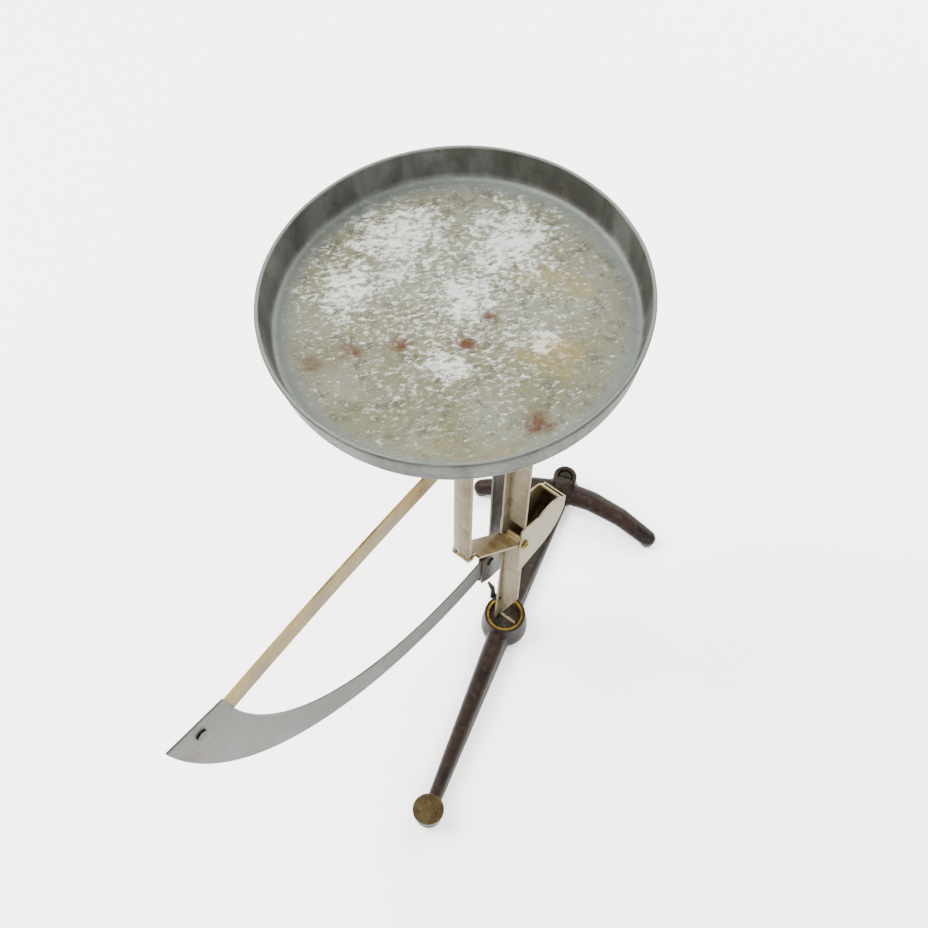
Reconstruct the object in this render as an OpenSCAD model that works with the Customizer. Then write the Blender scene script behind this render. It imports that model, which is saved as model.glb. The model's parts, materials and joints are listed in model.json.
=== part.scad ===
// Swinging-quadrant pan scale: a cast-iron T base with a levelling screw, a folded
// sheet column that turns in the base, and a swinging frame that carries the
// graduated quadrant, the counterweight and a round pan on an upright stem.
// Units are millimetres, +Z is up and the base stands on z = 0.
// The front leg of the base points along -Y and the crossbar lies along X.
// "Ahead" of the column means towards the quadrant, and "far" means its back face.

/* [Pan] */
// Radius of the pan at its rim
pan_rim_r = 45; // [40:1:52]
// Height of the pan's wall above its floor
pan_wall_h = 9; // [6:0.5:14]
// How far the wall leans outward between floor and rim
pan_flare = 1.6; // [0:0.2:3]
// Sheet thickness of the pan
pan_t = 0.6; // [0.5:0.1:1.2]
// Lean of the pan on its stem, in degrees
pan_lean = 3; // [0:0.5:4]
// How far the pan is riveted off its stem, towards the quadrant's side
pan_off_x = -1.7; // [-2:0.1:2]
// How far the pan is riveted ahead of its stem
pan_off_u = 2.2; // [-2:0.1:3]

/* [Linkage] */
// Height of the beam's pivot above the table
pivot_z = 187.5; // [170:0.5:215]
// Height of the lower link's pivot above the table
link_z = 79; // [72:0.5:92]
// Horizontal distance from the column's pivots to the stem at rest
reach = 28; // [24:0.5:34]
// Rise of the beam from its pivot to the stem at rest
rise = 33.5; // [26:0.5:38]
// Height of the pan's underside above the stem's top pivot
stem_head_h = 12.5; // [11:0.5:20]
// Width of the stem
stem_w = 6.2; // [5.6:0.2:7.4]
// Width of the lower link
link_w = 8; // [7:0.2:9]
// Sheet thickness of the stem and the lower link
strip_t = 0.8; // [0.6:0.1:1.2]

/* [Column] */
// Width of the column
column_w = 7.9; // [7.5:0.1:8.6]
// Sheet thickness of the column
column_t = 1; // [0.8:0.1:1.4]
// Angle by which the column is turned in the base, in degrees
head_turn = 17; // [0:1:40]
// Height of the window for the lower link
window_h = 14.5; // [12:0.5:18]
// How far the link pocket stands behind the column
pocket_d = 23.5; // [18:0.5:28]
// Height of the link pocket at the column
pocket_h = 30; // [26:0.5:36]
// Radius of the pocket's rounded lower back
pocket_round = 13; // [6:1:13]

/* [Quadrant] */
// Outer radius of the quadrant about the beam's pivot
quadrant_r = 138.4; // [120:0.2:142]
// Distance of the quadrant from the column's middle, to the far side
quadrant_offset = 8.2; // [8:0.1:11]
// Width of the quadrant plate at its narrow end
quadrant_w = 12.4; // [10:0.2:16]
// Sheet thickness of the quadrant frame
quadrant_t = 0.7; // [0.5:0.1:1.2]
// Width of the quadrant's upper arm
arm_w = 8.8; // [7:0.2:13]
// Width of the drop arm
drop_w = 9.4; // [7:0.2:11]
// Distance from the beam's pivot to the counterweight
weight_r_out = 51; // [45:1:62]
// Radius of the counterweight
weight_r = 14.5; // [10:0.5:16]
// Thickness of the counterweight
weight_t = 13; // [10:0.5:17]

/* [Base] */
// Distance from the socket to the levelling screw
leg_l = 80.5; // [66:0.5:96]
// Distance from the socket to the rear boss
rear_l = 65; // [54:0.5:78]
// How far the rear boss is cast to the right of the middle
rear_x = 2.6; // [-3:0.1:3]
// Reach of the crossbar's right arm from the rear boss
right_reach = 39.5; // [32:0.5:50]
// Reach of the crossbar's left arm from the rear boss
left_reach = 32.5; // [28:0.5:50]
// Radius of the socket boss at its mouth
socket_r = 7.95; // [7.6:0.05:9.5]
// Height of the socket boss
socket_h = 14; // [12:0.5:17]
// Bore radius of the brass bush in the socket
bush_r = 6.2; // [5.9:0.05:6.4]
// Radius of the levelling screw's head
level_head_r = 5.7; // [4.5:0.1:7]
// Radius of the levelling screw's shank
level_r = 2; // [1.5:0.1:2.5]

/* [Hidden] */

$fn = 64;

// Clearances and small shared sizes
run_gap = 0.05;      // radial gap of a pin that turns in its hole
side_gap = 0.4;      // gap between leaves that turn past each other
web = 1;             // thickness of fork and beam plates
pin_r = 1;           // radius of the link and stem pins
axle_r = 1.5;        // radius of the beam's axle
knuckle_r = 2;       // outer radius of the rolled knuckles
rivet_r = 0.9;       // radius of a rivet's shank
rivet_head_r = 1.7;  // radius of a rivet's head
rivet_head_t = 0.6;  // thickness of a rivet's head

// The column's middle plane, and its front face ahead of the socket's axis
mid_x = 0.75;
column_u = 0.2;
column_back_u = column_u - column_t;
flange_d = 2.4;
pocket_u = 2.2;
pocket_t = 0.6;
notch_top = 33;
column_x0 = mid_x - column_w / 2;
column_x1 = mid_x + column_w / 2;

// Pivots, as [distance ahead of the socket's axis, height]
hang_u = 0.5;
beam_pivot = [hang_u, pivot_z];
link_pivot = [hang_u, link_z];
stem_top = beam_pivot + [reach, rise];
stem_bottom = link_pivot + [reach, rise];
slope = atan2(rise, reach);

// Widths across the linkage, measured from the middle plane
fork_in = 2.4;
fork_out = fork_in + web;
beam_in = max(fork_out, stem_w / 2) + side_gap;
beam_out = beam_in + web;

// The swinging frame's sheets, from the near side to the far side
plate_x = mid_x - quadrant_offset;
arm_x = plate_x - quadrant_t;
weight_dir = 206;
weight_at = beam_pivot + weight_r_out * [cos(weight_dir), sin(weight_dir)];
tail_w = 6;
stop_r = 1;
stop_at = beam_pivot + 9 * [cos(weight_dir), sin(weight_dir)]
    + (tail_w / 2 + stop_r + 0.1) * [cos(weight_dir + 90), sin(weight_dir + 90)];

// The quadrant's outline: two arcs, cut off by the upper edge
inner_r = quadrant_r - 26;
inner_at = beam_pivot + [5.4, quadrant_w - (quadrant_r - inner_r)];
edge_drop = 24.5;
edge_slope = 9;
tip_u = hang_u + sqrt(pow(quadrant_r, 2) - pow(edge_drop, 2));
plate_end_u = 7.6;
clip_low = 7.5;

// The upper arm is a shallow arc between the drop arm and the tip
arm_r = 620;
arm_top_u = 55;
arm_top_z = pivot_z - 31.8;

// The index finger on the column's left flange, pointing at the quadrant's foot
index_at = [1.4, link_z - 53.5];
index_x = mid_x - quadrant_offset + 2.1;
index_rivet_r = 0.6;

// Base levels
socket_floor = 4.5;
plug_top = 10.5;
column_low = 7.5;
plug_r = bush_r - run_gap;
bush_out = bush_r + 0.8;
swivel_r = 1.9;
rear_h = 17.5;
rear_r = 4.9;
cross_screw_r = 1.6;
hub_low = 6;
foot_r = 3.5;
foot_sweep = 8;
hub_arm_z = 7.6;
rear_at = [rear_x, rear_l, 0];
level_boss_r = 5;
level_boss_h = 7.5;
level_head_t = 2;
level_gap = 1.1;

// Upper parts of the stem and the pan
pan_low = stem_top[1] + stem_head_h;
pan_fillet = 2;
rim_bead = 0.55;
flange_r = 9;
flange_t = 1;
lean_dir = 217;      // direction of the lean, from the head's +X
stem_curve_r = 5.5;
stem_face = 2.2;     // front of the stem ahead of its pins

// The assembly is shifted so that the box around it is centred on the origin
pan_mid = head_to_base(
    mid_x + pan_off_x + (pan_wall_h + pan_t) * sin(pan_lean) * cos(lean_dir),
    stem_top[0] + pan_off_u - (pan_wall_h + pan_t) * sin(pan_lean) * sin(lean_dir)
);
tip_mid = head_to_base(arm_x - quadrant_t / 2, tip_u);
span_x0 = pan_mid[0] - pan_rim_r;
span_x1 = rear_x + right_reach + foot_r;
span_y0 = tip_mid[1];
span_y1 = rear_l + rear_r + 1.6;
centre_x = (span_x0 + span_x1) / 2;
centre_y = (span_y0 + span_y1) / 2;

function head_to_base(x, u) = [
    x * cos(head_turn) - u * sin(head_turn),
    -x * sin(head_turn) - u * cos(head_turn)
];

// ---------- placing ----------

module on_base() {
    translate([-centre_x, -centre_y, 0]) children();
}

module on_head() {
    on_base() rotate([0, 0, -head_turn]) children();
}

// Sheets drawn as [ahead, up] and standing across the X axis, centred on x
module sheet(x, t) {
    translate([x, 0, 0])
        rotate([90, 0, -90])
            for (i = [0:$children - 1])
                linear_extrude(height = t, center = true)
                    children(i);
}

// A round bar along the X axis
module cross_bar(at, r, x0, x1) {
    translate([x0, -at[0], at[1]])
        rotate([0, 90, 0])
            cylinder(h = x1 - x0, r = r);
}

// A straight strip with round ends between two points
module capsule(a, b, w_a, w_b) {
    d = b - a;
    n = [-d[1], d[0]] / norm(d);
    polygon([a + n * w_a / 2, b + n * w_b / 2, b - n * w_b / 2, a - n * w_a / 2]);
    translate(a) circle(d = w_a);
    translate(b) circle(d = w_b);
}

module rivet(at, x0, x1) {
    cross_bar(at, rivet_r, x0, x1);
    cross_bar(at, rivet_head_r, x0 - rivet_head_t, x0);
    cross_bar(at, rivet_head_r, x1, x1 + rivet_head_t);
}

// ---------- base ----------

// Rounded bar section, wider at the foot, standing across the Y axis
module bar_section(x, y, w_top, w_low, z_low, z_top) {
    round_z = z_top - 1.6;
    translate([x, y, 0])
        rotate([90, 0, 0])
            linear_extrude(height = 0.2, center = true)
                polygon([
                    [-w_low / 2, z_low], [w_low / 2, z_low],
                    [w_low / 2, z_low + 1.5], [w_top / 2 + 0.4, round_z],
                    [w_top / 2 - 0.8, z_top], [-w_top / 2 + 0.8, z_top],
                    [-w_top / 2 - 0.4, round_z], [-w_low / 2, z_low + 1.5]
                ]);
}

module base_bar() {
    color("#3b2c28")
    on_base()
        difference() {
            union() {
                hull() {
                    bar_section(0, -socket_r + 2, 6.4, 9.2, 2.4, 11);
                    bar_section(0, -leg_l + 2, 3.6, 5.2, 2.4, 8);
                }
                hull() {
                    bar_section(0, socket_r - 2, 6.4, 9.2, 2.4, 10);
                    bar_section(rear_x, rear_l - rear_r - 1.5, 5, 7, 2.4, hub_low - 0.1);
                }
                cylinder(h = 5.5, r = socket_r + 1.1);
                translate([0, 0, 5.5])
                    cylinder(h = socket_h - 5.5, r1 = socket_r + 1.1, r2 = socket_r);
                translate([0, -leg_l, 2])
                    cylinder(h = level_boss_h - 2, r = level_boss_r);
                translate([rear_x, rear_l, 2])
                    cylinder(h = hub_low - 2, r = rear_r + 1.6);
            }
            translate([0, 0, -1]) cylinder(h = 2.5, r = socket_r + 2);
            translate([0, 0, socket_floor]) cylinder(h = socket_h, r = bush_out);
            cylinder(h = socket_h, r = swivel_r + 0.1);
            cylinder(h = 2.9, r = 3.8);
            translate([0, -leg_l, 0]) cylinder(h = 20, r = level_r + run_gap);
            translate([rear_x, rear_l, 0]) cylinder(h = 20, r = cross_screw_r);
        }
}

// Points of an arm's bowed centre line and its radius there, from hub to foot
function arm_at(reach_x, sweep, bow, t) = [
    reach_x * t,
    -2 - (sweep - 2) * t + 0.7 * bow * sin(180 * t),
    hub_arm_z + (foot_r - hub_arm_z) * t + bow * sin(180 * t)
];
function arm_r_at(t) = foot_r + 1.2 * (1 - t);

// One swept, tapering arm of the crossbar with a rounded foot
module cross_arm(reach_x, sweep, bow) {
    steps = 3;
    for (i = [0:steps - 1])
        hull()
            for (t = [i / steps, (i + 1) / steps])
                translate(arm_at(reach_x, sweep, bow, t)) sphere(r = arm_r_at(t), $fn = 32);
    translate([reach_x, -sweep, 0]) cylinder(h = foot_r, r = foot_r - 0.6);
}

module rear_crossbar() {
    color("#3b2c28")
    on_base()
        translate(rear_at)
            difference() {
                union() {
                    cross_arm(right_reach, foot_sweep, 2.3);
                    mirror([1, 0, 0]) cross_arm(left_reach, foot_sweep + 2.2, 1.2);
                    translate([0, 0, hub_low]) cylinder(h = 5, r1 = rear_r + 1.6, r2 = rear_r + 0.4);
                    translate([0, 0, hub_low]) cylinder(h = rear_h - hub_low, r = rear_r);
                }
                cylinder(h = 40, r = cross_screw_r + 0.1);
                translate([0, 0, rear_h - 3]) cylinder(h = 4, r = 2.95);
                cylinder(h = hub_low, r = rear_r + 2);
            }
}

module crossbar_screw() {
    color("#4a3a33")
    on_base()
        translate(rear_at)
            difference() {
                union() {
                    translate([0, 0, 2.2]) cylinder(h = rear_h - 5, r = cross_screw_r);
                    translate([0, 0, rear_h - 3]) cylinder(h = 1.4, r = 2.7);
                }
                translate([0, 0, rear_h - 1.6]) cube([6, 0.7, 1], center = true);
            }
}

module socket_bush() {
    color("#b8913f")
    on_base()
        translate([0, 0, socket_floor])
            difference() {
                cylinder(h = socket_h - socket_floor - 0.8, r = bush_out);
                translate([0, 0, -1]) cylinder(h = socket_h, r = bush_r);
            }
}

module levelling_screw() {
    color("#a8873f")
    on_base()
        translate([0, -leg_l, 0]) {
            cylinder(h = 1.2, r1 = level_r - 0.7, r2 = level_r);
            translate([0, 0, 1.2]) cylinder(h = level_boss_h + level_gap - 1.2, r = level_r);
        }
}

module levelling_head() {
    color("#b59548")
    on_base()
        translate([0, -leg_l, level_boss_h + level_gap]) {
            cylinder(h = level_head_t - 0.4, r = level_head_r);
            translate([0, 0, level_head_t - 0.4])
                cylinder(h = 0.4, r1 = level_head_r, r2 = level_head_r - 0.4);
        }
}

// ---------- column ----------

// The column's plan outline, grown by g
module column_outline(g) {
    translate([column_x0 - g, -column_u - g])
        square([column_w + 2 * g, column_t + 2 * g]);
    translate([column_x0 - g, -column_u - flange_d - g])
        square([0.7 + 2 * g, flange_d + column_t + 2 * g]);
}

module column_plug() {
    color("#3a3733")
    on_head()
        difference() {
            translate([0, 0, socket_floor + 0.3])
                cylinder(h = plug_top - socket_floor - 0.3, r = plug_r);
            translate([0, 0, column_low]) linear_extrude(height = 20) column_outline(0.05);
            cylinder(h = 7.3, r = swivel_r);
        }
}

module swivel_screw() {
    color("#8a8478")
    on_base() {
        translate([0, 0, 1.7]) cylinder(h = 1.1, r = 3.4);
        translate([0, 0, 1.7]) cylinder(h = 5.5, r = swivel_r);
    }
}

// Slanted notch that leaves the column's foot on a tang beside its flange
module foot_notch() {
    rotate([90, 0, 0])
        linear_extrude(height = 20, center = true)
            polygon([
                [column_x0 + 1.2, plug_top + 0.1], [column_x1 + 0.1, notch_top],
                [column_x1 + 1, notch_top], [column_x1 + 1, plug_top + 0.1]
            ]);
}

// Side outline of the wedge cut off the flange, which narrows up to the link
module flange_taper() {
    polygon([
        [column_u + flange_d, plug_top + 2], [column_u + 0.7, link_z - 18],
        [column_u + 0.7, link_z - 6], [column_u + flange_d + 1, link_z - 6],
        [column_u + flange_d + 1, plug_top + 2]
    ]);
}

module column_strip() {
    top_z = pivot_z - 14;
    window_z0 = link_z - 3.5;
    color("#cfc6b2")
    on_head()
        difference() {
            translate([0, 0, column_low])
                linear_extrude(height = top_z - column_low) column_outline(0);
            translate([mid_x - 3.2, -column_u - 1, window_z0])
                cube([6.4, column_t + 2, window_h]);
            foot_notch();
            sheet(column_x0, 3) flange_taper();
            cross_bar(link_pivot, pin_r + 0.1, column_x0 - 1, column_x1 + 1);
            cross_bar(index_at, index_rivet_r, column_x0 - 1, column_x0 + 2);
            translate([mid_x, 0, pivot_z - 20])
                rotate([90, 0, 0]) cylinder(h = 10, r = rivet_r, center = true);
            translate([mid_x, 0, pivot_z - 32])
                rotate([90, 0, 0]) cylinder(h = 10, r = rivet_r, center = true);
        }
}

module fork_cheek_outline() {
    difference() {
        union() {
            capsule(beam_pivot, beam_pivot - [5.4, 8.5], 9, 9);
            translate([column_back_u - 6.4, pivot_z - 36]) square([6.4, 27]);
        }
        translate(beam_pivot) circle(r = axle_r + run_gap);
        translate(stop_at) circle(r = stop_r);
    }
}

module pivot_fork() {
    color("#c4baa6")
    on_head() {
        for (side = [-1, 1])
            sheet(mid_x + side * (fork_in + fork_out) / 2, web) fork_cheek_outline();
        difference() {
            translate([mid_x - fork_out, -column_back_u, pivot_z - 36])
                cube([2 * fork_out, web, 20]);
            for (z = [pivot_z - 20, pivot_z - 32])
                translate([mid_x, 0, z])
                    rotate([90, 0, 0]) cylinder(h = 10, r = rivet_r, center = true);
        }
    }
}

module fork_rivets() {
    color("#a08a5a")
    on_head()
        for (z = [pivot_z - 20, pivot_z - 32])
            translate([mid_x, -column_u, z])
                rotate([-90, 0, 0]) {
                    cylinder(h = column_t + web, r = rivet_r);
                    translate([0, 0, -rivet_head_t]) cylinder(h = rivet_head_t, r = rivet_head_r);
                    translate([0, 0, column_t + web]) cylinder(h = rivet_head_t, r = rivet_head_r);
                }
}

module stop_pin() {
    color("#a08a5a")
    on_head() cross_bar(stop_at, stop_r, mid_x - beam_out - 0.3, mid_x + beam_out + 0.3);
}

// Side outline of the pocket behind the window, shrunk by g
module pocket_side(g) {
    low = link_z - 18 + g;
    high = low - 2 * g + pocket_h;
    back = column_back_u - pocket_d + g;
    polygon([
        [pocket_u + g, low], [back + pocket_round - g, low],
        [back, low + pocket_round - g], [back, high - pocket_d / 2], [pocket_u + g, high]
    ]);
}

module pocket_corner(g) {
    translate([column_back_u - pocket_d + pocket_round, link_z - 18 + pocket_round])
        circle(r = pocket_round - g);
}

module link_pocket() {
    color("#cbbf9f")
    on_head()
        difference() {
            sheet(mid_x, column_w + 2 * pocket_t) {
                pocket_side(0);
                pocket_corner(0);
            }
            sheet(mid_x, column_w) {
                pocket_side(pocket_t);
                pocket_corner(pocket_t);
                translate([0, 2]) pocket_side(pocket_t);
                translate([0, 12]) pocket_side(pocket_t);
            }
            translate([mid_x - column_w / 2, -pocket_u - 1, link_z - 20])
                cube([column_w, pocket_u + 1 - column_back_u, pocket_h + 5]);
            cross_bar(link_pivot, pin_r, column_x0 - 2, column_x1 + 2);
        }
}

module link_pin() {
    curl_r = 1.3;
    side = column_w / 2 + pocket_t;
    color("#c9a94f")
    on_head() {
        cross_bar(link_pivot, pin_r, mid_x - side - 0.5, mid_x + side + 0.5);
        translate([mid_x + side + 0.6, -link_pivot[0], link_pivot[1] + curl_r])
            rotate([0, 90, 0])
                rotate_extrude() translate([curl_r, 0]) circle(r = 0.5);
    }
}

module index_finger() {
    color("#3f3a30")
    on_head() {
        sheet(index_x, 0.6) {
            capsule(index_at, index_at + [0.4, 7], 2.8, 1.8);
            capsule(index_at + [0.4, 6.9], index_at + [3.2, 16.5], 1.9, 1.1);
        }
        difference() {
            cross_bar(index_at, 1.3, index_x, column_x0);
            cross_bar(index_at, index_rivet_r, index_x + 0.3, column_x0 + 1);
        }
    }
}

module index_rivet() {
    color("#a08a5a")
    on_head() {
        cross_bar(index_at, index_rivet_r, index_x + 0.3, column_x0 + 0.7);
        cross_bar(index_at, 1.1, column_x0 + 0.7, column_x0 + 1.2);
    }
}

// ---------- swinging frame ----------

module pivot_axle() {
    color("#9c8b5e")
    on_head() cross_bar(beam_pivot, axle_r, arm_x - 1.9, mid_x + beam_out + 1.9);
}

module axle_nuts() {
    color("#a8873f")
    on_head()
        for (x = [[plate_x - quadrant_t / 2 - 1.4, plate_x - quadrant_t / 2],
                  [mid_x + beam_out, mid_x + beam_out + 1.4]])
            translate([x[0], -beam_pivot[0], beam_pivot[1]])
                rotate([0, 90, 0])
                    difference() {
                        cylinder(h = x[1] - x[0], r = 3, $fn = 6);
                        translate([0, 0, -1]) cylinder(h = 4, r = axle_r);
                    }
}

module beam_outline() {
    difference() {
        union() {
            capsule(beam_pivot, stem_top, 8, 6);
            capsule(beam_pivot, weight_at, tail_w, tail_w);
        }
        translate(beam_pivot) circle(r = axle_r);
        translate(stem_top) circle(r = pin_r + run_gap);
        translate(weight_at) circle(r = pin_r + 0.5);
    }
}

module beam_plates() {
    color("#bfae84")
    on_head()
        for (side = [-1, 1])
            sheet(mid_x + side * (beam_in + beam_out) / 2, web) beam_outline();
}

module quadrant_collar() {
    color("#a8873f")
    on_head()
        difference() {
            cross_bar(beam_pivot, 3.6, plate_x + quadrant_t / 2, mid_x - beam_out);
            cross_bar(beam_pivot, axle_r, plate_x - 1, mid_x);
        }
}

module counterweight() {
    color("#8f8a80")
    on_head()
        difference() {
            cross_bar(weight_at, weight_r, mid_x - beam_out - weight_t, mid_x - beam_out);
            cross_bar(weight_at, pin_r + 0.5, mid_x - 40, mid_x + 40);
        }
}

module counterweight_bolt() {
    far = mid_x - beam_out - weight_t;
    color("#a08a5a")
    on_head() {
        cross_bar(weight_at, pin_r + 0.5, far - 1, mid_x + beam_out + 1);
        cross_bar(weight_at, 3, far - 1.4, far);
        cross_bar(weight_at, 2.8, mid_x + beam_out, mid_x + beam_out + 1.4);
    }
}

// Where the frame's rivets sit: the tip, the arm's two ends and the clip
tip_rivet = [tip_u - 10, pivot_z - edge_drop - 8];
arm_rivet = [-1.5, arm_top_z - pow(arm_top_u, 2) / (2 * arm_r)];
clip_rivet = [-1.8, pivot_z - quadrant_r + 17];
plate_rivet = [2.6, pivot_z - quadrant_r + 6];
clip_top = pivot_z - quadrant_r + 12.6;

module upper_edge_cut() {
    translate([tip_u + 2, pivot_z - edge_drop + 0.3])
        rotate(180 + edge_slope) translate([-10, -60]) square([60, 60]);
}

module quadrant_arm() {
    centre = [arm_top_u, arm_top_z - arm_r];
    color("#b89d6a")
    on_head()
        sheet(arm_x, quadrant_t)
            difference() {
                intersection() {
                    difference() {
                        translate(centre) circle(r = arm_r + arm_w / 2, $fn = 256);
                        translate(centre) circle(r = arm_r - arm_w / 2, $fn = 256);
                    }
                    translate([-6, pivot_z - 80]) square([tip_u + 3, 80]);
                    translate(beam_pivot) circle(r = quadrant_r - 0.6, $fn = 256);
                }
                for (at = [tip_rivet, arm_rivet]) translate(at) circle(r = rivet_r);
            }
}

module drop_arm() {
    ahead = 2.9;
    color("#8d8275")
    on_head()
        difference() {
            sheet(plate_x, quadrant_t) {
                translate(beam_pivot) circle(r = 6);
                polygon([
                    [ahead, pivot_z], [ahead, clip_top + 14], [ahead + 1.8, clip_top + 7],
                    [ahead + 2.6, clip_top], [ahead - drop_w, clip_top],
                    [ahead - drop_w, pivot_z - 4]
                ]);
            }
            cross_bar(beam_pivot, axle_r, plate_x - 1, plate_x + 1);
            for (at = [arm_rivet, clip_rivet])
                cross_bar(at, rivet_r, plate_x - 1, plate_x + 1);
        }
}

module quadrant_plate() {
    color("#8b9089")
    on_head()
        sheet(plate_x, quadrant_t)
            difference() {
                intersection() {
                    translate(beam_pivot) circle(r = quadrant_r, $fn = 256);
                    translate([-4, 0]) square([200, pivot_z]);
                }
                translate(inner_at) circle(r = inner_r, $fn = 256);
                translate([-10, clip_top]) square([20, 20]);
                upper_edge_cut();
                for (at = [tip_rivet, plate_rivet]) translate(at) circle(r = rivet_r);
            }
}

// The clip is a strap on the near side and a longer strap on the far side
module clip_outline(top_z) {
    low = pivot_z - quadrant_r;
    polygon([
        [plate_end_u, low + 4.5], [plate_end_u, clip_top], [3.4, top_z], [-5.6, top_z],
        [-5, low - 1], [-4.2, low - clip_low - 3], [2.8, low - clip_low - 0.6],
        [plate_end_u, low - clip_low + 3.4]
    ]);
}

module quadrant_clip() {
    color("#5b4136")
    on_head()
        difference() {
            union() {
                sheet(plate_x + (quadrant_t + 0.6) / 2, 0.6) clip_outline(clip_top + 1);
                sheet(plate_x - (quadrant_t + 0.6) / 2, 0.6) clip_outline(clip_top + 8);
            }
            for (at = [clip_rivet, plate_rivet])
                cross_bar(at, rivet_r, plate_x - 2, plate_x + 2);
        }
}

module quadrant_rivets() {
    far = plate_x - quadrant_t / 2;
    near = plate_x + quadrant_t / 2;
    color("#a08a5a")
    on_head() {
        for (at = [tip_rivet, arm_rivet]) rivet(at, far - quadrant_t, near);
        rivet(plate_rivet, far - 0.6, near + 0.6);
        rivet(clip_rivet, far - 0.6, near);
    }
}

// ---------- lower link, stem and pan ----------

module lower_link() {
    neck = 4.4;
    long = norm([reach, rise]);
    color("#b7a07a")
    on_head()
        translate([mid_x, -link_pivot[0], link_pivot[1]])
            rotate([-slope, 0, 0])
                difference() {
                    union() {
                        translate([-2.9, -long + neck, -strip_t / 2])
                            cube([5.8, long - neck, strip_t]);
                        translate([-link_w / 2, -long + neck, -strip_t / 2])
                            cube([link_w, long - 2 * neck, strip_t]);
                        translate([-1.5, -long, -strip_t / 2]) cube([3, neck + 1, strip_t]);
                        rotate([0, 90, 0]) cylinder(h = 5.8, r = knuckle_r, center = true);
                        translate([0, -long, 0])
                            rotate([0, 90, 0]) cylinder(h = 3, r = knuckle_r, center = true);
                    }
                    rotate([0, 90, 0])
                        cylinder(h = 20, r = pin_r + run_gap, center = true);
                    translate([0, -long, 0])
                        rotate([0, 90, 0]) cylinder(h = 20, r = pin_r + run_gap, center = true);
                }
}

module stem_section() {
    intersection() {
        translate([0, -stem_face + stem_curve_r])
            difference() {
                circle(r = stem_curve_r);
                circle(r = stem_curve_r - strip_t);
            }
        translate([-stem_w / 2, -stem_face - 1]) square([stem_w, stem_face + 1.6]);
    }
}

module pan_stem() {
    low = stem_bottom[1] - 1;
    color("#c3b492")
    on_head()
        difference() {
            union() {
                translate([mid_x, -stem_top[0], low])
                    linear_extrude(height = pan_low - flange_t - 0.15 - low) stem_section();
                cross_bar(stem_top, knuckle_r, mid_x - stem_w / 2, mid_x + stem_w / 2);
                for (side = [-1, 1])
                    cross_bar(stem_bottom, knuckle_r,
                        mid_x + (side < 0 ? -stem_w / 2 : 1.5 + side_gap),
                        mid_x + (side < 0 ? -1.5 - side_gap : stem_w / 2));
            }
            cross_bar(stem_top, pin_r, mid_x - 20, mid_x + 20);
            cross_bar(stem_bottom, pin_r, mid_x - 20, mid_x + 20);
            translate([mid_x - 1.5 - side_gap, -stem_bottom[0] - 6, low - 1])
                cube([3 + 2 * side_gap, 12, 5.2]);
        }
}

module stem_top_pin() {
    color("#a08a5a")
    on_head() cross_bar(stem_top, pin_r, mid_x - beam_out - 0.6, mid_x + beam_out + 0.6);
}

module stem_bottom_pin() {
    color("#a08a5a")
    on_head()
        cross_bar(stem_bottom, pin_r, mid_x - stem_w / 2 - 0.5, mid_x + stem_w / 2 + 0.5);
}

// The stem's flange and the pan lean together
module on_stem_head(off_x, off_u) {
    on_head()
        translate([mid_x, -stem_top[0], pan_low])
            rotate(a = pan_lean, v = [-sin(lean_dir), cos(lean_dir), 0])
                translate([off_x, -off_u, 0])
                    children();
}

rivet_ring = [for (i = [0:2]) 6 * [cos(90 + 120 * i), sin(90 + 120 * i)]];

module stem_flange() {
    color("#c3b492")
    on_stem_head(0, 0)
        difference() {
            translate([0, 0, -flange_t]) cylinder(h = flange_t, r = flange_r);
            for (at = rivet_ring)
                translate([at[0], at[1], -5]) cylinder(h = 10, r = rivet_r);
        }
}

module pan_rivets() {
    color("#8c8f88")
    on_stem_head(0, 0)
        for (at = rivet_ring)
            translate([at[0], at[1], -flange_t]) {
                translate([0, 0, -0.5]) cylinder(h = 0.5, r = 1.5);
                cylinder(h = flange_t + pan_t, r = rivet_r);
            }
}

// Half section of the pan, from its axis to the beaded rim
module pan_section() {
    floor_r = pan_rim_r - pan_flare;
    rim_z = pan_t + pan_wall_h;
    difference() {
        polygon([
            [0, 0], [floor_r - pan_fillet, 0], [floor_r, pan_fillet],
            [pan_rim_r - rim_bead, rim_z - rim_bead],
            [pan_rim_r - rim_bead - pan_t, rim_z - rim_bead],
            [floor_r - pan_t, pan_fillet + 0.2],
            [floor_r - pan_fillet - 0.2, pan_t], [0, pan_t]
        ]);
        translate([-1, -1]) square([1, 5]);
    }
    translate([pan_rim_r - rim_bead, rim_z - rim_bead]) circle(r = rim_bead, $fn = 24);
}

module pan() {
    color("#a9a998")
    on_stem_head(pan_off_x, pan_off_u)
        difference() {
            rotate_extrude($fn = 128) pan_section();
            for (at = rivet_ring)
                translate([at[0] - pan_off_x, at[1] + pan_off_u, -1])
                    cylinder(h = 4, r = rivet_r);
        }
}

// ---------- drawing ----------

base_bar();
rear_crossbar();
crossbar_screw();
socket_bush();
levelling_screw();
levelling_head();
column_plug();
swivel_screw();
column_strip();
pivot_fork();
fork_rivets();
stop_pin();
link_pocket();
link_pin();
index_finger();
index_rivet();
pivot_axle();
axle_nuts();
beam_plates();
quadrant_collar();
counterweight();
counterweight_bolt();
quadrant_arm();
drop_arm();
quadrant_plate();
quadrant_clip();
quadrant_rivets();
lower_link();
pan_stem();
stem_top_pin();
stem_bottom_pin();
stem_flange();
pan_rivets();
pan();
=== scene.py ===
"""Scene for a swinging-quadrant pan scale: worn cast base, plated sheet column, tinned pan.

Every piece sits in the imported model's own frame, in metres. Worn meshes stand for or add
to the plain CAD nodes, and each surface gets a procedural metal finish.
"""
import json
import math
import random

import bmesh
import bpy
from mathutils import Matrix, Vector, noise


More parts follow.
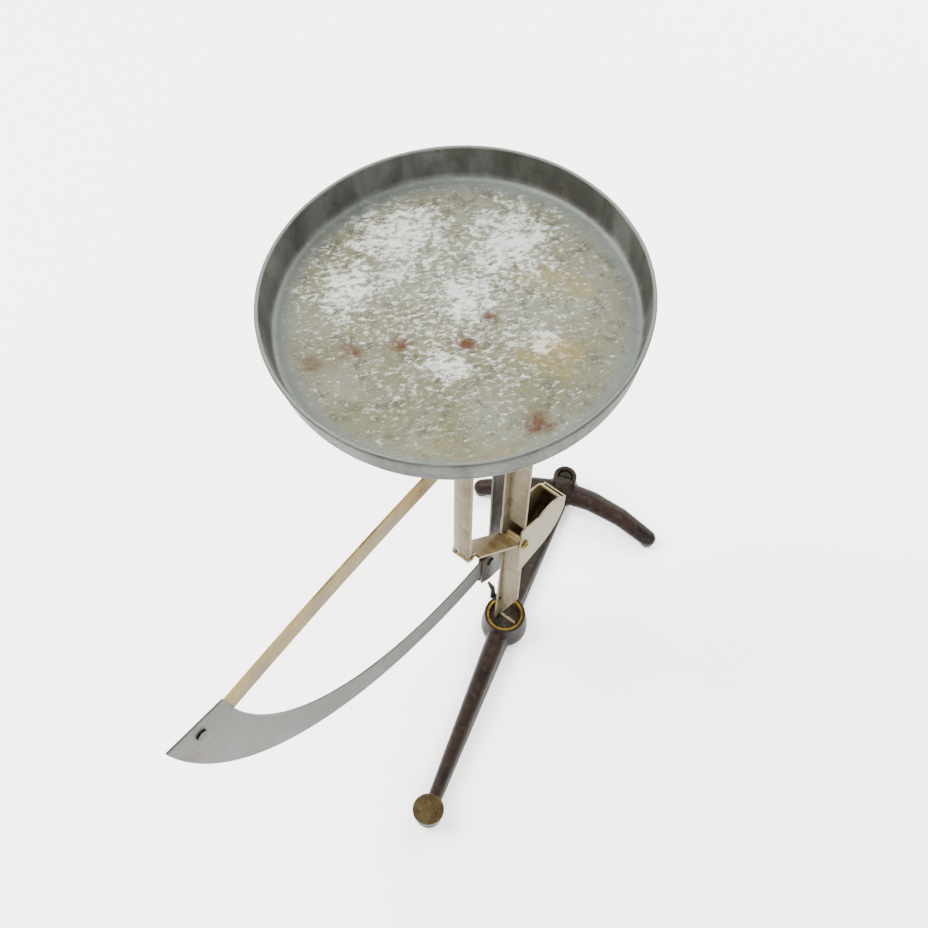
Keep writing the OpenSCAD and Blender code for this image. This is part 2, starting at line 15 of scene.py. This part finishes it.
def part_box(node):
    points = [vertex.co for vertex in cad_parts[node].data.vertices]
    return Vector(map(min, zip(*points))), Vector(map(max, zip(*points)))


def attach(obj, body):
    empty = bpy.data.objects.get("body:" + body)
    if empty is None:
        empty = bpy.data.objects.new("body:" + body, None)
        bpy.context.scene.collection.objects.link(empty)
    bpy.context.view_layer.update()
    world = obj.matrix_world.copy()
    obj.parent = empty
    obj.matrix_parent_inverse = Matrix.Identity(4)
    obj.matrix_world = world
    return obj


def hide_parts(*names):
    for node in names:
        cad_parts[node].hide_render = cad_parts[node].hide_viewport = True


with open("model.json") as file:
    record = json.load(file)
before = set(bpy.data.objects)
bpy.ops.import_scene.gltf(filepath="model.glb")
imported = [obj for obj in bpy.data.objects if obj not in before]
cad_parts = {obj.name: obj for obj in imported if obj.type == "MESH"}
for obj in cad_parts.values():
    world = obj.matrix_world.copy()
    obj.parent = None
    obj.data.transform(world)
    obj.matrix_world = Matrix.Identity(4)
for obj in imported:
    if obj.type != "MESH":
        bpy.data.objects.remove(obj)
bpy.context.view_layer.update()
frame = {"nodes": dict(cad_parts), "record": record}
nodes = frame["nodes"]
record = frame["record"]
scene = bpy.context.scene
random.seed(7)

MM = 0.001


def middle(node):
    low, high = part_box(node)
    return (low + high) / 2


def top_middle(node):
    at = middle(node)
    at.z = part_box(node)[1].z
    return at


# ---------- camera, floor and light ----------

SOCKET_AXIS = Vector((middle("socket_bush").x, middle("socket_bush").y, 0.0))
CAMERA_FROM_SOCKET = Vector((51.4, -191.0, 461.8)) * MM
CAMERA_AZIMUTH = 20.0
CAMERA_DOWN = 59.5
CAMERA_ROLL = 1.09
CAMERA_LENS = 48.5

LIGHT_TARGET = Vector((0.0, 0.0, 0.12))
SKY_COLOUR = (0.96, 0.98, 0.95, 1.0)
SKY_STRENGTH = 2.6

FLOOR_HALF = 3.0
FLOOR_DROP = 0.2 * MM
PAPER = (0.93, 0.94, 0.92, 1.0)
PAPER_LIGHT = (0.95, 0.955, 0.94, 1.0)


def add_camera():
    data = bpy.data.cameras.new("camera")
    data.lens = CAMERA_LENS
    data.sensor_width = 36.0
    data.clip_start = 0.01
    camera = bpy.data.objects.new("camera", data)
    scene.collection.objects.link(camera)
    turn = Matrix.Rotation(math.radians(CAMERA_AZIMUTH), 4, "Z")
    tilt = Matrix.Rotation(math.radians(90.0 - CAMERA_DOWN), 4, "X")
    roll = Matrix.Rotation(math.radians(CAMERA_ROLL), 4, "Z")
    place = Matrix.Translation(SOCKET_AXIS + CAMERA_FROM_SOCKET)
    camera.matrix_world = place @ turn @ tilt @ roll
    scene.camera = camera


def add_area(name, at, size, energy):
    data = bpy.data.lights.new(name, "AREA")
    data.shape = "SQUARE"
    data.size = size
    data.energy = energy
    lamp = bpy.data.objects.new(name, data)
    scene.collection.objects.link(lamp)
    lamp.location = at
    lamp.rotation_euler = (LIGHT_TARGET - Vector(at)).to_track_quat("-Z", "Y").to_euler()


def add_studio():
    add_area("key", (-0.75, -0.1, 1.15), size=0.8, energy=44.0)
    add_area("back", (0.25, 1.0, 0.8), size=0.9, energy=30.0)
    add_area("fill", (0.6, -0.9, 0.8), size=0.9, energy=14.0)
    world = bpy.data.worlds.new("studio")
    world.use_nodes = True
    sky = world.node_tree.nodes["Background"]
    sky.inputs["Color"].default_value = SKY_COLOUR
    sky.inputs["Strength"].default_value = SKY_STRENGTH
    scene.world = world


def add_floor():
    half = FLOOR_HALF
    corners = [(-half, -half, 0), (half, -half, 0), (half, half, 0), (-half, half, 0)]
    mesh = bpy.data.meshes.new("studio_floor")
    mesh.from_pydata(corners, [], [(0, 1, 2, 3)])
    mesh.materials.append(floor_paper())
    floor = bpy.data.objects.new("studio_floor", mesh)
    scene.collection.objects.link(floor)
    floor.location.z = -FLOOR_DROP


# ---------- material kit ----------

# The studio light is bright, so a metal's colours are made deeper and richer than written
METAL_DEPTH = 0.36
METAL_RICHNESS = 1.5
SHEEN_LEVEL = 0.12

# A blot's edge is set by the distance from its point plus noise, both in shares of its radius
BLOT_GRAIN = 230.0
BLOT_RAGGED = 1.6
BLOT_NONE_AT = 1.55
BLOT_FULL_AT = 0.75


def in_studio(colour):
    """The colour as the shader takes it. One with an alpha is taken as it is."""
    if len(colour) == 4:
        return colour
    grey = sum(colour) / 3
    rich = [max(0.0, grey + (c - grey) * METAL_RICHNESS) * METAL_DEPTH for c in colour]
    return (*rich, 1.0)


class Net:
    """A small helper for building one node material. Noise scales are per metre."""

    def __init__(self, name):
        self.mat = bpy.data.materials.new(name)
        self.mat.use_nodes = True
        self.tree = self.mat.node_tree
        self.tree.nodes.clear()
        out = self.add("ShaderNodeOutputMaterial")
        self.bsdf = self.add("ShaderNodeBsdfPrincipled")
        self.link(self.bsdf.outputs["BSDF"], out.inputs["Surface"])
        self.coordinates = self.add("ShaderNodeTexCoord")
        self.place = self.coordinates.outputs["Object"]

    def add(self, kind, **settings):
        node = self.tree.nodes.new(kind)
        for key, value in settings.items():
            setattr(node, key, value)
        return node

    def link(self, a, b):
        self.tree.links.new(a, b)

    def feed(self, socket_in, value):
        """Links an output, or sets a constant."""
        if isinstance(value, bpy.types.NodeSocket):
            self.link(value, socket_in)
        elif isinstance(value, tuple):
            socket_in.default_value = in_studio(value)
        else:
            socket_in.default_value = value

    def stretched(self, scale, turn_z=0.0):
        """Object coordinates turned about Z and stretched, for brushed or streaky textures."""
        mapping = self.add("ShaderNodeMapping", vector_type="TEXTURE")
        mapping.inputs["Rotation"].default_value = (0.0, 0.0, math.radians(turn_z))
        mapping.inputs["Scale"].default_value = [1.0 / s for s in scale]
        self.link(self.place, mapping.inputs["Vector"])
        return mapping.outputs["Vector"]

    def noise(self, scale, detail=4.0, rough=0.55, warp=0.0, at=None):
        node = self.add("ShaderNodeTexNoise")
        node.inputs["Scale"].default_value = scale
        node.inputs["Detail"].default_value = detail
        node.inputs["Roughness"].default_value = rough
        node.inputs["Distortion"].default_value = warp
        self.link(at or self.place, node.inputs["Vector"])
        return node.outputs["Fac"]

    def spread(self, value, low, high, to_low=0.0, to_high=1.0, smooth=False):
        node = self.add("ShaderNodeMapRange")
        node.interpolation_type = "SMOOTHSTEP" if smooth else "LINEAR"
        self.feed(node.inputs["Value"], value)
        node.inputs["From Min"].default_value = low
        node.inputs["From Max"].default_value = high
        node.inputs["To Min"].default_value = to_low
        node.inputs["To Max"].default_value = to_high
        return node.outputs["Result"]

    def ramp(self, value, zero_at, one_at):
        """Rises smoothly from 0 to 1 between the two values."""
        return self.spread(value, zero_at, one_at, smooth=True)

    def math(self, operation, a, b):
        node = self.add("ShaderNodeMath", operation=operation)
        self.feed(node.inputs[0], a)
        self.feed(node.inputs[1], b)
        return node.outputs[0]

    def mix(self, fac, a, b):
        node = self.add("ShaderNodeMix", data_type="RGBA")
        self.feed(node.inputs["Factor"], fac)
        self.feed(node.inputs["A"], a)
        self.feed(node.inputs["B"], b)
        return node.outputs["Result"]

    def layer(self, under, mask, share, colour):
        """Lays a colour over what is under it, at this share of the mask."""
        return self.mix(self.math("MULTIPLY", mask, share), under, colour)

    def bump(self, height, strength, distance, under=None):
        node = self.add("ShaderNodeBump")
        node.inputs["Strength"].default_value = strength
        node.inputs["Distance"].default_value = distance
        self.link(height, node.inputs["Height"])
        if under:
            self.link(under, node.inputs["Normal"])
        return node.outputs["Normal"]

    def axis_part(self, vector, axis):
        node = self.add("ShaderNodeSeparateXYZ")
        self.link(vector, node.inputs["Vector"])
        return node.outputs[axis]

    def distance_to(self, point):
        node = self.add("ShaderNodeVectorMath", operation="DISTANCE")
        self.link(self.place, node.inputs[0])
        node.inputs[1].default_value = point
        return node.outputs["Value"]

    def blot(self, point, radius):
        """A ragged spot round the point, gone at about three quarters of the radius."""
        grain = self.noise(BLOT_GRAIN, 6.0, 0.7, 0.8)
        ragged = self.math("MULTIPLY", grain, radius * BLOT_RAGGED)
        reach = self.math("ADD", self.distance_to(point), ragged)
        return self.ramp(reach, radius * BLOT_NONE_AT, radius * BLOT_FULL_AT)

    def finish(self, colour, rough, metallic, normal):
        self.feed(self.bsdf.inputs["Base Color"], colour)
        self.feed(self.bsdf.inputs["Roughness"], rough)
        self.bsdf.inputs["Metallic"].default_value = metallic
        self.bsdf.inputs["Specular IOR Level"].default_value = SHEEN_LEVEL
        self.link(normal, self.bsdf.inputs["Normal"])
        return self.mat


def floor_paper():
    net = Net("studio_paper")
    tone = net.mix(net.noise(3.0, 2.0, 0.5), PAPER, PAPER_LIGHT)
    grain = net.bump(net.noise(900.0, 3.0, 0.6), 0.03, 0.2 * MM)
    return net.finish(tone, 0.85, 0.0, grain)


def worn_metal(name, dark, mid, light, patch, grain, rough, metallic, spots,
               spot_colour=None, streak=(1, 1, 1), bump=0.25, stains=()):
    """Sheet or cast metal: slow patches, fine grain, streaks along one way and small spots.

    Each stain is (point, radius, colour): a ragged patch of tarnish, solder or rust.
    """
    net = Net(name)
    slow = net.noise(patch, 6.0, 0.6, 0.4)
    lines = net.noise(grain, 5.0, 0.65, 0.1, at=net.stretched(streak))
    fine = net.noise(grain * 1.7, 3.0, 0.7)
    pits = net.ramp(net.noise(patch * 5.0, 8.0, 0.72, 0.8), 0.62, 0.72)
    colour = net.mix(net.ramp(slow, 0.38, 0.62), dark, mid)
    colour = net.mix(net.ramp(lines, 0.5, 0.78), colour, light)
    colour = net.layer(colour, pits, spots, spot_colour or dark)
    for point, radius, stain_colour in stains:
        colour = net.layer(colour, net.blot(point, radius), 0.85, stain_colour)
    roughness = net.spread(slow, 0.3, 0.7, *rough)
    normal = net.bump(lines, bump, 0.12 * MM)
    normal = net.bump(fine, bump * 0.5, 0.06 * MM, under=normal)
    return net.finish(colour, roughness, metallic, normal)


# ---------- finishes ----------

def bronzed_iron():
    return worn_metal(
        "cast_bronzed_iron", dark=(0.008, 0.004, 0.003), mid=(0.02, 0.011, 0.008),
        light=(0.06, 0.04, 0.03), patch=110.0, grain=420.0, rough=(0.4, 0.55),
        metallic=0.2, spots=0.3, spot_colour=(0.10, 0.075, 0.06), bump=0.5)


def column_plate():
    return worn_metal(
        "worn_plated_column", dark=(0.23, 0.185, 0.125), mid=(0.35, 0.305, 0.225),
        light=(0.48, 0.44, 0.35), patch=150.0, grain=1000.0, rough=(0.38, 0.6),
        metallic=0.5, spots=0.55, spot_colour=(0.13, 0.09, 0.055), streak=(1, 1, 0.3))


def pocket_plate():
    return worn_metal(
        "pocket_plate", dark=(0.25, 0.19, 0.095), mid=(0.38, 0.335, 0.25),
        light=(0.50, 0.46, 0.37), patch=130.0, grain=900.0, rough=(0.35, 0.55),
        metallic=0.5, spots=0.4, spot_colour=(0.2, 0.125, 0.04))


def stem_plate():
    return worn_metal(
        "plated_stem", dark=(0.17, 0.13, 0.08), mid=(0.29, 0.24, 0.165),
        light=(0.42, 0.37, 0.28), patch=110.0, grain=800.0, rough=(0.35, 0.55),
        metallic=0.5, spots=0.5, spot_colour=(0.09, 0.06, 0.035), streak=(1, 1, 0.18))


def link_plate():
    return worn_metal(
        "worn_link", dark=(0.2, 0.145, 0.075), mid=(0.33, 0.265, 0.165),
        light=(0.46, 0.4, 0.28), patch=140.0, grain=900.0, rough=(0.35, 0.55),
        metallic=0.5, spots=0.6, spot_colour=(0.10, 0.06, 0.03))


def tan_brass():
    return worn_metal(
        "tan_brass", dark=(0.20, 0.14, 0.065), mid=(0.36, 0.27, 0.14),
        light=(0.47, 0.38, 0.23), patch=85.0, grain=700.0, rough=(0.35, 0.5),
        metallic=0.5, spots=0.45, spot_colour=(0.11, 0.07, 0.035), streak=(0.25, 0.2, 1))


def quadrant_grey():
    """Grey tinned sheet, stained brown where the arm meets the quadrant's tip."""
    arm_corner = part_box("quadrant_arm")[0]
    plate_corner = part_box("quadrant_plate")[0]
    tip = Vector((plate_corner.x, plate_corner.y, arm_corner.z))
    return worn_metal(
        "grey_quadrant", dark=(0.095, 0.096, 0.088), mid=(0.135, 0.135, 0.125),
        light=(0.21, 0.21, 0.195), patch=45.0, grain=600.0, rough=(0.36, 0.5),
        metallic=0.55, spots=0.2, spot_colour=(0.07, 0.055, 0.04), streak=(0.2, 0.25, 1),
        stains=((tip, 16.0 * MM, (0.075, 0.045, 0.03)),
                (arm_corner, 9.0 * MM, (0.10, 0.055, 0.035))))


# Painted shade and a painted reflection: this near-black brown stands in for the drop arm's face
# lying in shade with the brown base reflected in it. The clip and the quadrant rivets take the
# same brown.
def brown_and_shade_sheet():
    return worn_metal(
        "brown_and_shade_sheet", dark=(0.018, 0.011, 0.008), mid=(0.045, 0.03, 0.023),
        light=(0.14, 0.11, 0.09), patch=140.0, grain=900.0, rough=(0.35, 0.55),
        metallic=0.5, spots=0.4, streak=(1, 1, 0.3))


def aged_brass():
    return worn_metal(
        "aged_brass", dark=(0.14, 0.09, 0.035), mid=(0.28, 0.19, 0.075),
        light=(0.45, 0.34, 0.15), patch=200.0, grain=1200.0, rough=(0.3, 0.5),
        metallic=0.7, spots=0.4)


def head_brass():
    """Brass of the levelling screw, darker at the middle of its head."""
    return worn_metal(
        "levelling_head_brass", dark=(0.06, 0.043, 0.024), mid=(0.095, 0.073, 0.044),
        light=(0.18, 0.145, 0.09), patch=260.0, grain=1100.0, rough=(0.32, 0.5),
        metallic=0.55, spots=0.4,
        stains=((top_middle("levelling_head"), 3.8 * MM, (0.08, 0.055, 0.032)),))


def dark_metal():
    return worn_metal(
        "dark_metal", dark=(0.014, 0.012, 0.010), mid=(0.034, 0.028, 0.023),
        light=(0.10, 0.08, 0.055), patch=260.0, grain=900.0, rough=(0.45, 0.65),
        metallic=0.4, spots=0.5, spot_colour=(0.12, 0.09, 0.045))


def dull_weight():
    return worn_metal(
        "dull_weight", dark=(0.14, 0.115, 0.075), mid=(0.22, 0.185, 0.125),
        light=(0.34, 0.29, 0.21), patch=90.0, grain=700.0, rough=(0.4, 0.6),
        metallic=0.6, spots=0.4)


# ---------- shape kit ----------

SOFTEN_OVER = 35.0
CAST_CELL = 0.55 * MM
CAST_LUMP_SIZE = 4.0 * MM
CAST_LUMP_DEPTH = 0.12 * MM


def new_piece(name, bm, body, material, sharp_over=40.0):
    """Makes a piece whose edges sharper than this angle, in degrees, stay hard."""
    mesh = bpy.data.meshes.new(name)
    bmesh.ops.recalc_face_normals(bm, faces=bm.faces)
    bm.to_mesh(mesh)
    bm.free()
    piece = bpy.data.objects.new(name, mesh)
    scene.collection.objects.link(piece)
    mesh.materials.append(material)
    mesh.shade_smooth()
    mesh.set_sharp_from_angle(angle=math.radians(sharp_over))
    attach(piece, body)
    return piece


def soften(node, width, segments):
    """Rounds a CAD node's hard edges."""
    bevel = nodes[node].modifiers.new("soft_edges", "BEVEL")
    bevel.width = width
    bevel.segments = segments
    bevel.limit_method = "ANGLE"
    bevel.angle_limit = math.radians(SOFTEN_OVER)
    bevel.harden_normals = False


def cast_surface(node):
    """Gives a casting rounded edges and a skin with slight lumps that only sink inwards."""
    modifiers = nodes[node].modifiers
    skin = modifiers.new("cast_skin", "REMESH")
    skin.mode = "VOXEL"
    skin.voxel_size = CAST_CELL
    skin.use_smooth_shade = True
    round_off = modifiers.new("worn_edges", "SMOOTH")
    round_off.factor = 0.5
    round_off.iterations = 5
    lumps = bpy.data.textures.new(node + "_lumps", "CLOUDS")
    lumps.noise_scale = CAST_LUMP_SIZE
    lumpy = modifiers.new("cast_lumps", "DISPLACE")
    lumpy.texture = lumps
    lumpy.texture_coords = "LOCAL"
    lumpy.strength = CAST_LUMP_DEPTH
    lumpy.mid_level = 1.0


def dress(node, material):
    materials = nodes[node].data.materials
    materials.clear()
    materials.append(material)


# ---------- pan ----------

pan_low, pan_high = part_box("pan")
pan_mount = next(m for m in record["mounts"] if m["name"] == "pan_floor")
PAN_AXIS = Vector(pan_mount["axis"]).normalized()
PAN_RIM_R = (pan_high.x - pan_low.x) / 2
PAN_WALL_H = 9.0 * MM
PAN_T = 0.6 * MM
PAN_FLARE = 1.6 * MM
PAN_BEAD = 0.55 * MM
PAN_FILLET = 2.0 * MM
PAN_TURNS = 160
DENT_DEPTH = 0.55 * MM
RIPPLE_DEPTH = 0.15 * MM
RIPPLE_FINENESS = 4.0
DENT_WAVES_ROUND = 1.3
DENT_WAVES_UP = 60.0
DENT_GROWTH = 1.5


def pan_middle():
    """The floor's middle: under the rim's middle, along the pan's leaning axis."""
    rim = middle("pan")
    back = PAN_AXIS * (PAN_WALL_H - PAN_BEAD)
    on_floor = Vector(pan_mount["pos_m"])
    x = rim.x - back.x
    y = rim.y - back.y
    rise = PAN_AXIS.x * (x - on_floor.x) + PAN_AXIS.y * (y - on_floor.y)
    return Vector((x, y, on_floor.z - rise / PAN_AXIS.z))


PAN_FLOOR = pan_middle()
PAN_RIM = PAN_FLOOR + PAN_AXIS * (PAN_WALL_H - PAN_BEAD)

PAN_GREY = (0.25, 0.25, 0.205)
PAN_OLIVE = (0.185, 0.18, 0.125)
PAN_SHADE = (0.085, 0.085, 0.062)
PAN_WORN = (0.47, 0.47, 0.41)
PAN_CHALK = (0.34, 0.34, 0.33, 1.0)
PAN_YELLOW = (0.34, 0.27, 0.13)
PAN_RUST = (0.085, 0.035, 0.02)
# Painted highlight: the pale blue-grey ring where the floor turns up into the wall.
PAN_FILLET_HIGHLIGHT = (0.235, 0.255, 0.25)
# Painted shade: the wall's colours are darker than the floor's, with darker streaky runs.
PAN_WALL_SHADED = (0.20, 0.205, 0.19)
PAN_WALL_SHADED_DARK = (0.09, 0.088, 0.08)
PAN_RIM_TINT = (0.035, 0.028, 0.022)


def on_pan(x, y, radius):
    """A spot on the pan: (point, radius), measured in mm from the floor's middle."""
    return PAN_FLOOR + Vector((x, y, 0.0)) * MM, radius * MM


CHALK_SPOTS = [
    on_pan(0.0, 5.5, 19.0), on_pan(-27.0, 0.0, 22.0), on_pan(-21.0, 17.0, 26.0),
    on_pan(4.0, 24.0, 26.0), on_pan(21.5, 0.0, 9.0), on_pan(3.0, -13.0, 11.0),
]
RUST_SPOTS = [
    on_pan(7.0, 2.5, 4.0), on_pan(5.0, -6.5, 5.0), on_pan(-26.0, -23.0, 6.0),
    on_pan(-19.5, -16.5, 6.0), on_pan(-9.5, -11.5, 5.0), on_pan(27.0, -21.0, 7.0),
]


def pan_floor_colour(net, grit, scratches):
    from_middle = net.distance_to(PAN_FLOOR)
    patches = net.ramp(net.noise(48.0, 5.0, 0.55, 0.4), 0.36, 0.64)
    colour = net.mix(patches, PAN_OLIVE, PAN_GREY)
    mottle = net.ramp(net.noise(300.0, 8.0, 0.76, 0.3), 0.5, 0.62)
    colour = net.layer(colour, mottle, 0.75, PAN_SHADE)
    colour = net.layer(colour, net.ramp(scratches, 0.54, 0.7), 0.4, PAN_WORN)
    chalk = net.math("MULTIPLY", net.ramp(from_middle, 44.0 * MM, 0.0), 0.4)
    for point, radius in CHALK_SPOTS:
        chalk = net.math("MAXIMUM", chalk, net.blot(point, radius))
    chalky_grit = net.math("ADD", net.math("MULTIPLY", chalk, 0.2), grit)
    colour = net.layer(colour, net.ramp(chalky_grit, 0.54, 0.72), 0.9, PAN_CHALK)
    yellow = net.ramp(net.noise(34.0, 4.0, 0.6, 0.5), 0.5, 0.64)
    across = net.axis_part(net.place, "X")
    right = net.ramp(across, PAN_FLOOR.x - 10.0 * MM, PAN_FLOOR.x + 30.0 * MM)
    colour = net.layer(colour, net.math("MULTIPLY", yellow, right), 0.55, PAN_YELLOW)
    for point, radius in RUST_SPOTS:
        colour = net.layer(colour, net.blot(point, radius), 0.92, PAN_RUST)
    # Painted highlight: a blue-grey ring laid on the floor's outer edge, over the fillet.
    edge = net.ramp(from_middle, 36.5 * MM, 40.5 * MM)
    return net.layer(colour, edge, 0.7, PAN_FILLET_HIGHLIGHT)


def pan_shaded_wall_colour(net):
    # The wall is made darker than the floor as painted shade of the inner wall; rust specks and
    # a brown rim tint lie over it.
    runs = net.noise(110.0, 6.0, 0.6, 0.3, at=net.stretched((1, 1, 0.35)))
    colour = net.mix(net.ramp(runs, 0.35, 0.7), PAN_WALL_SHADED_DARK, PAN_WALL_SHADED)
    specks = net.ramp(net.noise(420.0, 7.0, 0.75, 0.8), 0.58, 0.68)
    colour = net.layer(colour, specks, 0.7, PAN_RUST)
    from_rim_middle = net.distance_to(PAN_RIM)
    rim = net.ramp(from_rim_middle, PAN_RIM_R - 0.7 * MM, PAN_RIM_R + 0.1 * MM)
    return net.layer(colour, rim, 0.45, PAN_RIM_TINT)


def pan_metal():
    """Tinned sheet gone mottled: chalky worn patches, slanting scratches, rust, yellow stain, a
    painted highlight ring round the floor and painted shade on the wall.
    """
    net = Net("pan_tinned_sheet")
    grit = net.noise(560.0, 8.0, 0.76, 0.3, at=net.stretched((1.0, 1.7, 1.0), 30.0))
    scratches = net.noise(950.0, 6.0, 0.7, 0.3, at=net.stretched((1.0, 7.0, 1.0), -32.0))
    # Up-facing floor takes the floor colours, the steep wall takes the darker painted-shade
    # colours.
    level = net.ramp(net.axis_part(net.coordinates.outputs["Normal"], "Z"), 0.6, 0.92)
    colour = net.mix(level, pan_shaded_wall_colour(net), pan_floor_colour(net, grit, scratches))
    rough = net.spread(grit, 0.35, 0.65, 0.48, 0.66)
    normal = net.bump(grit, 0.35, 0.22 * MM)
    normal = net.bump(scratches, 0.25, 0.06 * MM, under=normal)
    return net.finish(colour, rough, 0.4, normal)


def between(start, end, share):
    return (start[0] + (end[0] - start[0]) * share, start[1] + (end[1] - start[1]) * share)


def pan_profile():
    """Radius and height pairs round the pan's section, from outside bottom to inside floor."""
    fillet_steps = 6
    wall_steps = 6
    bead_steps = 8
    bead_start = -10.0
    bead_turn = 200.0
    floor_r = PAN_RIM_R - PAN_FLARE
    bead = (PAN_RIM_R - PAN_BEAD, PAN_T + PAN_WALL_H - PAN_BEAD)
    outer_foot = (floor_r, PAN_FILLET)
    outer_top = (bead[0] + PAN_BEAD, bead[1])
    inner_foot = (floor_r - PAN_T, PAN_FILLET + PAN_T)
    inner_top = (bead[0] - PAN_T, bead[1])
    curve = [math.radians(90.0 * i / fillet_steps) for i in range(fillet_steps + 1)]

    points = []
    for a in curve:
        points.append((floor_r - PAN_FILLET * (1 - math.sin(a)), PAN_FILLET * (1 - math.cos(a))))
    for i in range(1, wall_steps):
        points.append(between(outer_foot, outer_top, i / wall_steps))
    for i in range(bead_steps + 1):
        a = math.radians(bead_start + bead_turn * i / bead_steps)
        points.append((bead[0] + PAN_BEAD * math.cos(a), bead[1] + PAN_BEAD * math.sin(a)))
    for i in range(1, wall_steps + 1):
        points.append(between(inner_top, inner_foot, i / wall_steps))
    for a in reversed(curve[:-1]):
        points.append((floor_r - PAN_T - PAN_FILLET * (1 - math.sin(a)),
                       PAN_T + PAN_FILLET * (1 - math.cos(a))))
    return points


def dent(angle, height):
    """How far the wall is pushed in: knocks and a slightly uneven rim, strongest at the top."""
    at = Vector((math.cos(angle) * DENT_WAVES_ROUND, math.sin(angle) * DENT_WAVES_ROUND,
                 height * DENT_WAVES_UP))
    wave = 0.5 + 0.5 * noise.noise(at)
    ripple = 0.5 + 0.5 * noise.noise(at * RIPPLE_FINENESS)
    share = (height / (PAN_T + PAN_WALL_H)) ** DENT_GROWTH
    return (DENT_DEPTH * wave + RIPPLE_DEPTH * ripple) * share


def make_pan(material):
    profile = pan_profile()
    lean = PAN_AXIS.to_track_quat("Z", "Y").to_matrix().to_4x4()
    place = Matrix.Translation(PAN_FLOOR - PAN_AXIS * PAN_T) @ lean
    bm = bmesh.new()
    rings = []
    for i in range(PAN_TURNS):
        a = 2 * math.pi * i / PAN_TURNS
        ring = []
        for r, z in profile:
            inward = r - dent(a, z)
            ring.append(bm.verts.new(
                place @ Vector((inward * math.cos(a), inward * math.sin(a), z))))
        rings.append(ring)
    low = bm.verts.new(place @ Vector((0, 0, 0)))
    high = bm.verts.new(place @ Vector((0, 0, PAN_T)))
    for i in range(PAN_TURNS):
        a = rings[i]
        b = rings[(i + 1) % PAN_TURNS]
        for j in range(len(profile) - 1):
            bm.faces.new((a[j], b[j], b[j + 1], a[j + 1]))
        bm.faces.new((low, b[0], a[0]))
        bm.faces.new((high, a[-1], b[-1]))
    pan = new_piece("worn_pan", bm, "pan_carrier", material)
    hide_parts("pan")


# ---------- dirt and wire ends ----------

GRIT_GRAINS = 110
GRIT_SMALLEST = 0.25 * MM
GRIT_LARGEST = 0.7 * MM
GRIT_FLATNESS = 0.55
GRIT_SINK = 0.25
GRIT_EDGE_GAP = 0.3 * MM
WIRE_LENGTH = 1.5 * MM
WIRE_INSET = 0.5 * MM
WIRE_REACH = 0.5 * MM
WIRE_ROOT_R = 0.28 * MM
WIRE_TIP_R = 0.2 * MM


def make_grit(material):
    """Dark dirt packed on top of the plug, inside the brass ring."""
    low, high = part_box("column_plug")
    centre = top_middle("column_plug")
    radius = (high.x - low.x) / 2 - GRIT_EDGE_GAP
    bm = bmesh.new()
    for _ in range(GRIT_GRAINS):
        a = random.uniform(0, 2 * math.pi)
        r = radius * math.sqrt(random.random())
        size = random.uniform(GRIT_SMALLEST, GRIT_LARGEST)
        at = centre + Vector((r * math.cos(a), r * math.sin(a), -GRIT_SINK * size))
        made = bmesh.ops.create_icosphere(bm, subdivisions=1, radius=size)
        for v in made["verts"]:
            v.co = Vector((v.co.x, v.co.y, v.co.z * GRIT_FLATNESS)) + at
    new_piece("plug_grit", bm, "column", material, sharp_over=70.0)


def make_wire_tails(pin, body, count, material):
    """Short straight wire ends that stick out by turns of a pin's two ends."""
    low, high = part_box(pin)
    bm = bmesh.new()
    for i in range(count):
        start = middle(pin)
        start.x = high.x - WIRE_INSET if i % 2 else low.x + WIRE_INSET
        way = Vector((random.uniform(-0.4, 0.4), random.uniform(-1, 1),
                      random.uniform(-1, 1))).normalized()
        made = bmesh.ops.create_cone(bm, segments=8, radius1=WIRE_ROOT_R, radius2=WIRE_TIP_R,
                                     depth=WIRE_LENGTH, cap_ends=True)
        turn = way.to_track_quat("Z", "Y").to_matrix()
        for v in made["verts"]:
            v.co = turn @ v.co + start + way * WIRE_REACH
    new_piece(pin + "_tails", bm, body, material)


# ---------- the whole scene ----------

CASTINGS = ("base_bar", "rear_crossbar")
SOLID_NODES = ("levelling_head", "counterweight", "socket_bush", "crossbar_screw")
SHEET_NODES = (
    "column_strip", "link_pocket", "pivot_fork", "beam_plates", "quadrant_arm", "drop_arm",
    "quadrant_plate", "quadrant_clip", "lower_link", "pan_stem", "stem_flange",
)

add_camera()
add_studio()
add_floor()

dark = dark_metal()
# brown: painted shade on the drop arm, and the same brown on the clip and rivets.
brown = brown_and_shade_sheet()
brass = aged_brass()
stem = stem_plate()
pan_sheet = pan_metal()
LOOKS = {
    "cast_base": bronzed_iron(), "screw_steel": dark, "bush_brass": brass,
    "levelling_brass": head_brass(), "plug": dark, "plated_column": column_plate(),
    "pocket": pocket_plate(), "pin_brass": brass, "dark_index": dark, "beam": stem,
    "weight": dull_weight(), "arm_brass": tan_brass(), "drop": brown,
    "quadrant": quadrant_grey(), "clip": brown, "stem": stem, "link": link_plate(),
    "pan_sheet": pan_sheet,
}
slots = {row["node"]: row["material_slot"] for row in record["subparts"]}
for node in nodes:
    dress(node, LOOKS[slots[node]])
dress("quadrant_rivets", brown)

for node in CASTINGS:
    cast_surface(node)
for node in SHEET_NODES:
    soften(node, width=0.15 * MM, segments=2)
for node in SOLID_NODES:
    soften(node, width=0.35 * MM, segments=3)

make_pan(pan_sheet)
make_grit(dark)
make_wire_tails("stem_bottom_pin", "pan_carrier", 4, dark)
make_wire_tails("link_pin", "column", 5, dark)
